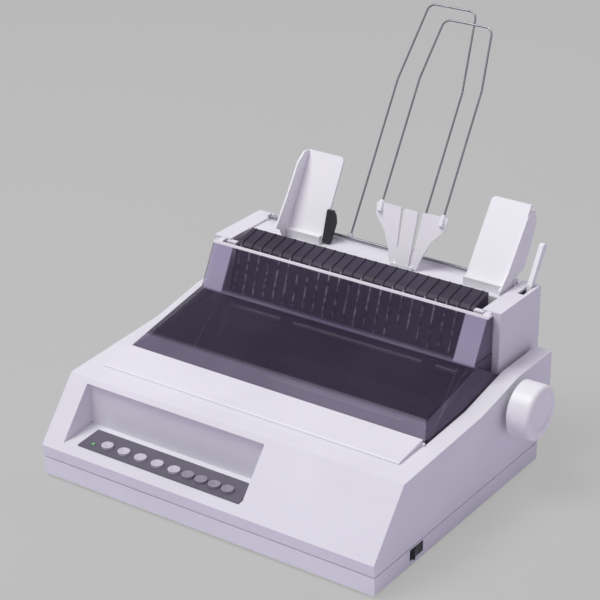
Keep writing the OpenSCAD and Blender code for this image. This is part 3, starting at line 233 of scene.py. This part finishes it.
# Base colour, roughness, share the colour varies by, size of its patches and of the grain (larger is finer),
# depth and strength of the relief, and what else the finish has
METAL = {"metallic": 1.0}
BRUSHED = (0.04, 1, 1)
FINISHES = {
    "case_plastic": ((0.78, 0.77, 0.82), 0.46, 0.025, 10, 1500, 0.00018, 0.35, {}),
    "white_plastic": ((0.88, 0.875, 0.90), 0.38, 0.02, 12, 1200, 0.0001, 0.25, {}),
    "black_plastic": ((0.030, 0.028, 0.036), 0.45, 0.15, 18, 1300, 0.0002, 0.4, {"specular": 0.35}),
    "panel_plastic": ((0.130, 0.120, 0.155), 0.45, 0.06, 20, 1500, 0.0002, 0.3, {}),
    "light_key": ((0.60, 0.58, 0.64), 0.4, 0.04, 60, 1800, 0.0001, 0.3, {}),
    "dark_key": ((0.30, 0.28, 0.34), 0.4, 0.05, 60, 1800, 0.0001, 0.3, {}),
    "led": ((0.20, 0.55, 0.20), 0.15, 0.1, 300, 900, 0.00005, 0.1, {"coat": 0.5}),
    "platen_rubber": ((0.022, 0.022, 0.024), 0.62, 0.12, 30, 1500, 0.0003, 0.5, {}),
    "foot_rubber": ((0.040, 0.040, 0.044), 0.75, 0.1, 40, 900, 0.0003, 0.6, {}),
    "bright_steel": ((0.78, 0.78, 0.80), 0.34, 0.04, 20, 700, 0.0001, 0.15,
                     {"metallic": 0.75, "stretch": BRUSHED}),
    "plated_bail": ((0.90, 0.90, 0.92), 0.35, 0.03, 20, 700, 0.0001, 0.15,
                    {"metallic": 0.2, "coat": 0.4, "stretch": BRUSHED}),
    "dark_wire": ((0.26, 0.25, 0.29), 0.30, 0.08, 60, 900, 0.0001, 0.2, {"metallic": 0.7, "coat": 0.3}),
    "screw_steel": ((0.52, 0.52, 0.54), 0.35, 0.06, 90, 900, 0.0001, 0.3, METAL),
    "frame_metal": ((0.46, 0.46, 0.48), 0.38, 0.07, 35, 500, 0.0001, 0.3, METAL),
    "motor_metal": ((0.34, 0.34, 0.36), 0.4, 0.08, 50, 600, 0.0001, 0.3, METAL),
    "head_metal": ((0.08, 0.08, 0.09), 0.45, 0.1, 60, 1200, 0.0003, 0.5, {"metallic": 0.6}),
    "pinion_brass": ((0.62, 0.46, 0.20), 0.3, 0.06, 60, 700, 0.0001, 0.25, METAL),
    "gear_plastic": ((0.70, 0.67, 0.56), 0.45, 0.04, 60, 1200, 0.0001, 0.3, {}),
    "ink_fabric": ((0.012, 0.012, 0.016), 0.9, 0.2, 200, 3000, 0.0003, 0.8, {"sheen": 0.2}),
    "circuit_board": ((0.03, 0.16, 0.08), 0.35, 0.15, 120, 1500, 0.0002, 0.3, {"coat": 0.3}),
}
materials = {name: finish_material(name, *row[:-1], **row[-1]) for name, row in FINISHES.items()}
materials["smoked_plastic"] = smoked("smoked_plastic")
materials["ribbed_plastic"] = ribbed("ribbed_plastic")

# Finishes that one node has instead of its slot's
OWN_FINISH = {"paper_guide": "ribbed_plastic", "paper_bail": "plated_bail"}
for part in frame["record"]["subparts"]:
    mesh = nodes[part["node"]].data
    mesh.materials.clear()
    mesh.materials.append(materials[OWN_FINISH.get(part["node"], part["material_slot"])])


# ---- Stage ----
BACKDROP = (0.428, 0.430, 0.422, 1)    # what shows beyond the floor
FLOOR_GLOW = (0.468, 0.475, 0.448, 1)  # what the floor adds to its paint for the rays in seen()
FLOOR_SIZE = 12


def seen(tree):
    """1 for camera, glossy and transmission rays."""
    path = tree.nodes.new("ShaderNodeLightPath")
    value = path.outputs["Is Camera Ray"]
    for other in ("Is Glossy Ray", "Is Transmission Ray"):
        value = maths(tree, "MAXIMUM", value, path.outputs[other])
    return value


def floor_paint():
    """Pale floor that keeps the shadow, and looks as even as the backdrop."""
    m = finish_material("floor_paint", (0.72, 0.69, 0.80), 0.85, 0.01, 3, 300, 0.0002, 0.1, specular=0.1)
    tree = m.node_tree
    glow = tree.nodes.new("ShaderNodeEmission")
    glow.inputs["Color"].default_value = FLOOR_GLOW
    blend = tree.nodes.new("ShaderNodeMixShader")
    tree.links.new(spread(tree, seen(tree), 0.0, 0.8), blend.inputs[0])
    tree.links.new(tree.nodes["Principled BSDF"].outputs[0], blend.inputs[1])
    tree.links.new(glow.outputs[0], blend.inputs[2])
    tree.links.new(blend.outputs[0], tree.nodes["Material Output"].inputs["Surface"])
    return m


half = FLOOR_SIZE / 2
mesh = bpy.data.meshes.new("floor")
mesh.from_pydata([(-half, -half, 0), (half, -half, 0), (half, half, 0), (-half, half, 0)], [], [(0, 1, 2, 3)])
mesh.materials.append(floor_paint())
floor = bpy.data.objects.new("floor", mesh)
scene.collection.objects.link(floor)

world = bpy.data.worlds.new("world")
scene.world = world
world.use_nodes = True
sky = world.node_tree
sky.nodes["Background"].inputs["Color"].default_value = (0.87, 0.80, 1.0, 1)
sky.nodes["Background"].inputs["Strength"].default_value = 0.38
backdrop = sky.nodes.new("ShaderNodeBackground")
backdrop.inputs["Color"].default_value = BACKDROP
either = sky.nodes.new("ShaderNodeMixShader")
sky.links.new(seen(sky), either.inputs[0])
sky.links.new(sky.nodes["Background"].outputs[0], either.inputs[1])
sky.links.new(backdrop.outputs[0], either.inputs[2])
sky.links.new(either.outputs[0], sky.nodes["World Output"].inputs["Surface"])


def area_light(name, location, target, size, power, colour=(1, 1, 1)):
    """A square soft lamp aimed at a point."""
    lamp = bpy.data.lights.new(name, "AREA")
    lamp.size = size
    lamp.energy = power
    lamp.color = colour
    o = bpy.data.objects.new(name, lamp)
    o.location = location
    direction = [t - l for t, l in zip(target, location)]
    flat = math.hypot(direction[0], direction[1])
    turn = math.atan2(direction[1], direction[0]) - math.pi / 2
    o.rotation_euler = (math.atan2(flat, -direction[2]), 0, turn)
    scene.collection.objects.link(o)


area_light("key", (-1.0, -1.05, 3.0), (0, 0, 0.1), 1.6, 70, (0.985, 1.0, 0.95))
area_light("fill", (1.8, -1.8, 1.2), (0, 0, 0.1), 2.0, 4, (0.92, 0.88, 1.0))
area_light("back", (0.2, 2.2, 2.2), (0, 0, 0.2), 1.6, 12)

scene.view_settings.view_transform = "Standard"
